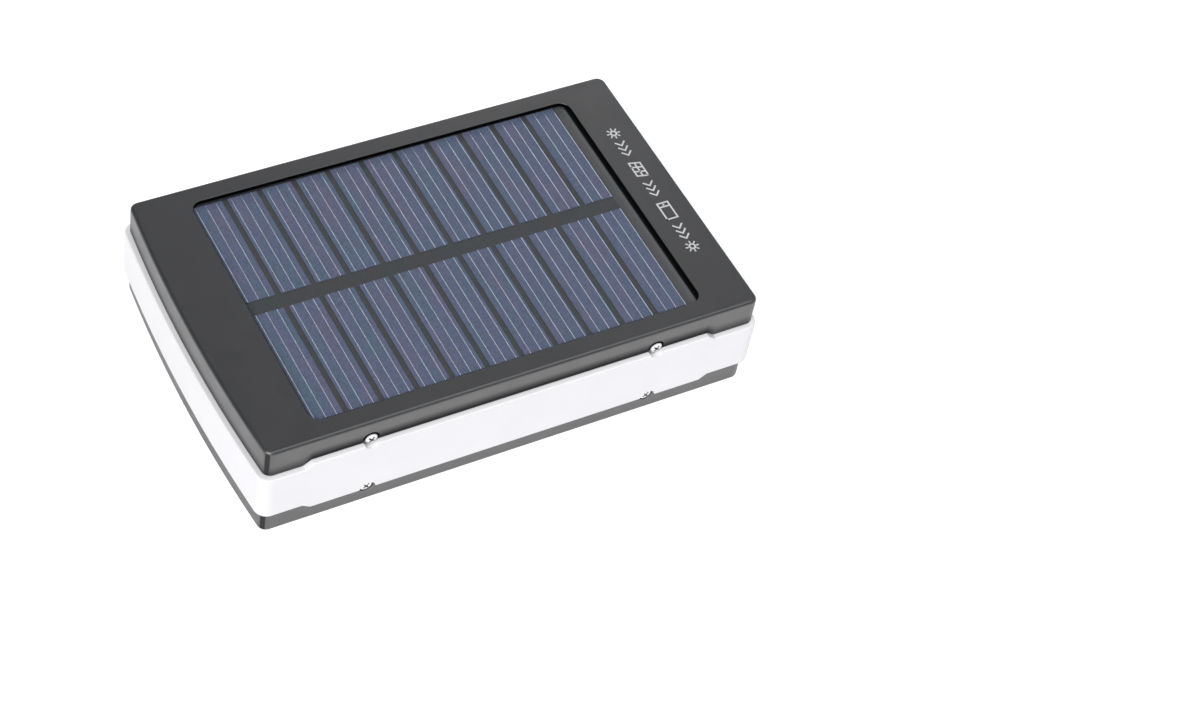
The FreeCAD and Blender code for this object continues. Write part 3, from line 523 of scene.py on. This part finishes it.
def paint_nodes():
    """Gives every CAD node its material, and returns the materials by slot."""
    clear = {"Transmission_Weight": 0.85, "IOR": 1.49}
    finishes = {
        "cover_paint": cover_paint(),
        "frame_plastic": frame_plastic(),
        "screw_steel": screw_plating(),
        "panel_board": panel_board(),
        "solar_silicon": silicon(),
        "grid_silver": grid_silver(),
        "panel_film": clear_film(),
        "black_tape": moulded("black_tape", (0.006, 0.006, 0.006), 0.8, Specular_IOR_Level=0.1),
        "lead_insulation": moulded("lead_insulation", (0.45, 0.02, 0.02), 0.4),
        "insulator_paper": moulded("insulator_paper", (0.78, 0.76, 0.66), 0.85),
        "nickel": metal("nickel", (0.66, 0.63, 0.58), 0.3, streak=(0.1, 1, 1)),
        "foam": moulded("foam", (0.045, 0.045, 0.048), 0.95, grain=0.4 * MM, depth=0.12 * MM),
        "board_green": circuit_board(),
        "socket_shell": metal("socket_shell", (0.70, 0.70, 0.71), 0.26, streak=(0.15, 1, 1)),
        "socket_plastic": moulded("socket_plastic", (0.022, 0.022, 0.024), 0.42),
        "contact_gold": metal("contact_gold", (0.86, 0.62, 0.24), 0.22),
        "button_plastic": moulded("button_plastic", (0.04, 0.04, 0.042), 0.45),
        "led_body": moulded("led_body", (0.80, 0.78, 0.62), 0.35),
        "light_pipe": moulded("light_pipe", (0.85, 0.92, 1.0), 0.12, **clear),
        "ferrite": moulded("ferrite", (0.05, 0.05, 0.055), 0.75, grain=0.12 * MM, depth=0.02 * MM),
        "copper": winding(),
        "capacitor_can": metal("capacitor_can", (0.64, 0.64, 0.66), 0.3),
        "chip_plastic": moulded(
            "chip_plastic", (0.025, 0.025, 0.027), 0.6, grain=0.1 * MM, depth=0.01 * MM),
        "cell_sleeve": cell_sleeve(),
    }
    for entry in frame["record"]["subparts"]:
        mesh = nodes[entry["node"]].data
        mesh.materials.clear()
        mesh.materials.append(finishes[entry["material_slot"]])
    return finishes


# ---------------------------------------------------------------- pieces

def piece_from(name, bm, mat, body):
    """Turns a bmesh into a piece that rides on a body."""
    bmesh.ops.recalc_face_normals(bm, faces=bm.faces)
    mesh = bpy.data.meshes.new(name)
    bm.to_mesh(mesh)
    bm.free()
    mesh.materials.append(mat)
    obj = bpy.data.objects.new(name, mesh)
    bpy.context.scene.collection.objects.link(obj)
    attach(obj, body)
    return obj


def extrude_outlines(bm, outlines, low, high, step=0.0):
    """Adds a closed plate for each outline, a list of (x, y), between two heights.

    The step sets neighbouring plates that overlap at slightly different heights."""
    for number, outline in enumerate(outlines):
        top = high + number % 4 * step
        floor = [bm.verts.new((x, y, low)) for x, y in outline]
        roof = [bm.verts.new((x, y, top)) for x, y in outline]
        bm.faces.new(floor)
        bm.faces.new(roof)
        for i in range(len(outline)):
            j = (i + 1) % len(outline)
            bm.faces.new((floor[i], floor[j], roof[j], roof[i]))


def rounded_rectangle(low, high, radius, steps=8):
    """The outline of a rectangle with round corners."""
    centres = [(high[0] - radius, high[1] - radius), (low[0] + radius, high[1] - radius)]
    centres += [(low[0] + radius, low[1] + radius), (high[0] - radius, low[1] + radius)]
    outline = []
    for quarter, (x, y) in enumerate(centres):
        for step in range(steps + 1):
            angle = (quarter + step / steps) * math.pi / 2
            outline.append((x + radius * math.cos(angle), y + radius * math.sin(angle)))
    return outline


def make_film(mat):
    """The clear film, with round corners, a little above the lines on the strips."""
    bm = bmesh.new()
    gap, corner = 0.05 * MM, 2.5 * MM
    outline = rounded_rectangle(FILM_LOW, FILM_HIGH, corner)
    extrude_outlines(bm, [outline], LINES_HIGH.z + gap, FILM_HIGH.z)
    film = piece_from("panel_laminate", bm, mat, CASE)
    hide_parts("panel_film")


# ---------------------------------------------------------------- printed marks on the top cover

# The marks are drawn in their own plane: u runs along the row and v across it, both in mm
MARK_X = 51.0                  # where v = 0 lies beside the window, in mm
MARK_START_Y = 20.8            # where u = 0 lies, in mm; the row reads towards -Y
MARK_SCALE = 1.07
MARK_MID_V = 1.5
STROKE = 0.36


def stroke_plate(start, end, width=STROKE):
    """The outline of a straight stroke between two points, with square ends."""
    (ax, ay), (bx, by) = start, end
    length = math.hypot(bx - ax, by - ay)
    ux, uy = (bx - ax) / length * width / 2, (by - ay) / length * width / 2
    return [
        (ax - ux - uy, ay - uy + ux),
        (ax - ux + uy, ay - uy - ux),
        (bx + ux + uy, by + uy - ux),
        (bx + ux - uy, by + uy + ux),
    ]


def ring_plates(centre_u, radius, count, width):
    """A ring made of short plates, so that every plate is a plain convex outline."""
    inner, outer = radius - width / 2, radius + width / 2
    plates = []
    for i in range(count):
        a, b = 2 * math.pi * i / count, 2 * math.pi * (i + 1) / count
        corners = ((inner, a), (outer, a), (outer, b), (inner, b))
        plates.append([(centre_u + r * math.cos(t), MARK_MID_V + r * math.sin(t)) for r, t in corners])
    return plates


def sun_mark(u):
    """A round sun with eight rays."""
    ray_span, rays = (1.05, 1.4), 8
    plates = ring_plates(u, radius=0.62, count=16, width=0.4)
    for i in range(rays):
        angle = 2 * math.pi * i / rays
        ray = [(u + r * math.cos(angle), MARK_MID_V + r * math.sin(angle)) for r in ray_span]
        plates.append(stroke_plate(*ray, width=0.3))
    return plates


def panel_mark(u):
    """A slanted solar panel with a grid of cells."""
    length, lean, low, high = 3.9, 0.7, 0.3, 2.7
    plates = []
    for v in (low, MARK_MID_V, high):
        shift = lean * v / 3
        plates.append(stroke_plate((u + shift, v), (u + length + shift, v)))
    for step in range(4):
        start = u + length * step / 3
        plates.append(stroke_plate((start + lean * 0.1, low), (start + lean * 0.9, high)))
    return plates


def arrow_marks(u):
    """A row of three chevrons that point along the row."""
    depth, half_width, pitch = 1.0, 1.0, 1.5
    plates = []
    for i in range(3):
        tip = u + 1.1 + i * pitch
        for side in (-half_width, half_width):
            plates.append(stroke_plate((tip - depth, MARK_MID_V + side), (tip, MARK_MID_V)))
    return plates


def handset_mark(u):
    """A handset that lies on its side, with a round key."""
    start, bar, end, low, high = u + 0.2, u + 1.3, u + 4.8, 0.25, 2.75
    plates = [stroke_plate((start, v), (end, v)) for v in (low, high)]
    plates += [stroke_plate((at, low), (at, high)) for at in (start, bar, end)]
    return plates + ring_plates(u + 0.75, radius=0.16, count=8, width=0.2)


def print_marks(mat):
    """White pictograms in place of lettering: sun, panel, handset and sun, with arrows between."""
    plates = sun_mark(1.5) + arrow_marks(4.2) + panel_mark(10.4) + arrow_marks(16.6)
    plates += handset_mark(22.8) + arrow_marks(29.5) + sun_mark(36.0)
    size = MARK_SCALE * MM
    outlines = []
    for plate in plates:
        outlines.append([(MARK_X * MM + v * size, MARK_START_Y * MM - u * size) for u, v in plate])
    sunk, proud, step = 0.01 * MM, 0.015 * MM, 0.002 * MM
    bm = bmesh.new()
    extrude_outlines(bm, outlines, COVER_HIGH.z - sunk, COVER_HIGH.z + proud, step)
    piece_from("printed_marks", bm, mat, CASE)


make_camera()
make_stage()
finishes = paint_nodes()
make_film(finishes["panel_film"])
print_marks(moulded("white_ink", (0.62, 0.62, 0.63), 0.5, grain=0.1 * MM, depth=0.002 * MM))
